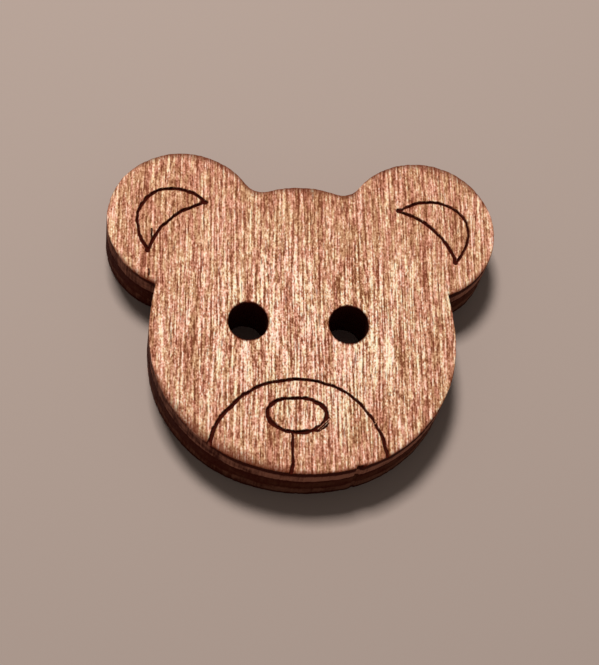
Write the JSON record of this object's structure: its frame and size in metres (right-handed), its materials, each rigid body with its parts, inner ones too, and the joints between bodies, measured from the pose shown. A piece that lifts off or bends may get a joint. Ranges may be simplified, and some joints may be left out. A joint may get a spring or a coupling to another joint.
{
  "type": "wooden button",
  "caption": "Flat sewing button laser-cut from three-ply wood in a bear-head outline, with sewing holes for eyes and a face drawn in thin burnt lines.",
  "frame": {"origin": "middle of the outline's box on the flat back face", "axes": "+Z out of the engraved face, +Y from the chin to the ears, +X to the viewer's right when the face is looked at"},
  "size_m": [0.02, 0.0174, 0.003],
  "materials": {
    "face_veneer": "bare wood with fine upright grain, burnt lines and a burnt rim",
    "core_veneer": "edge burnt dark brown by the laser, grain across the button",
    "back_veneer": "bare wood with fine upright grain, burnt edge"
  },
  "bodies": {
    "root": {"face_veneer": "face_veneer", "core_veneer": "core_veneer", "back_veneer": "back_veneer"}
  },
  "joints": []
}
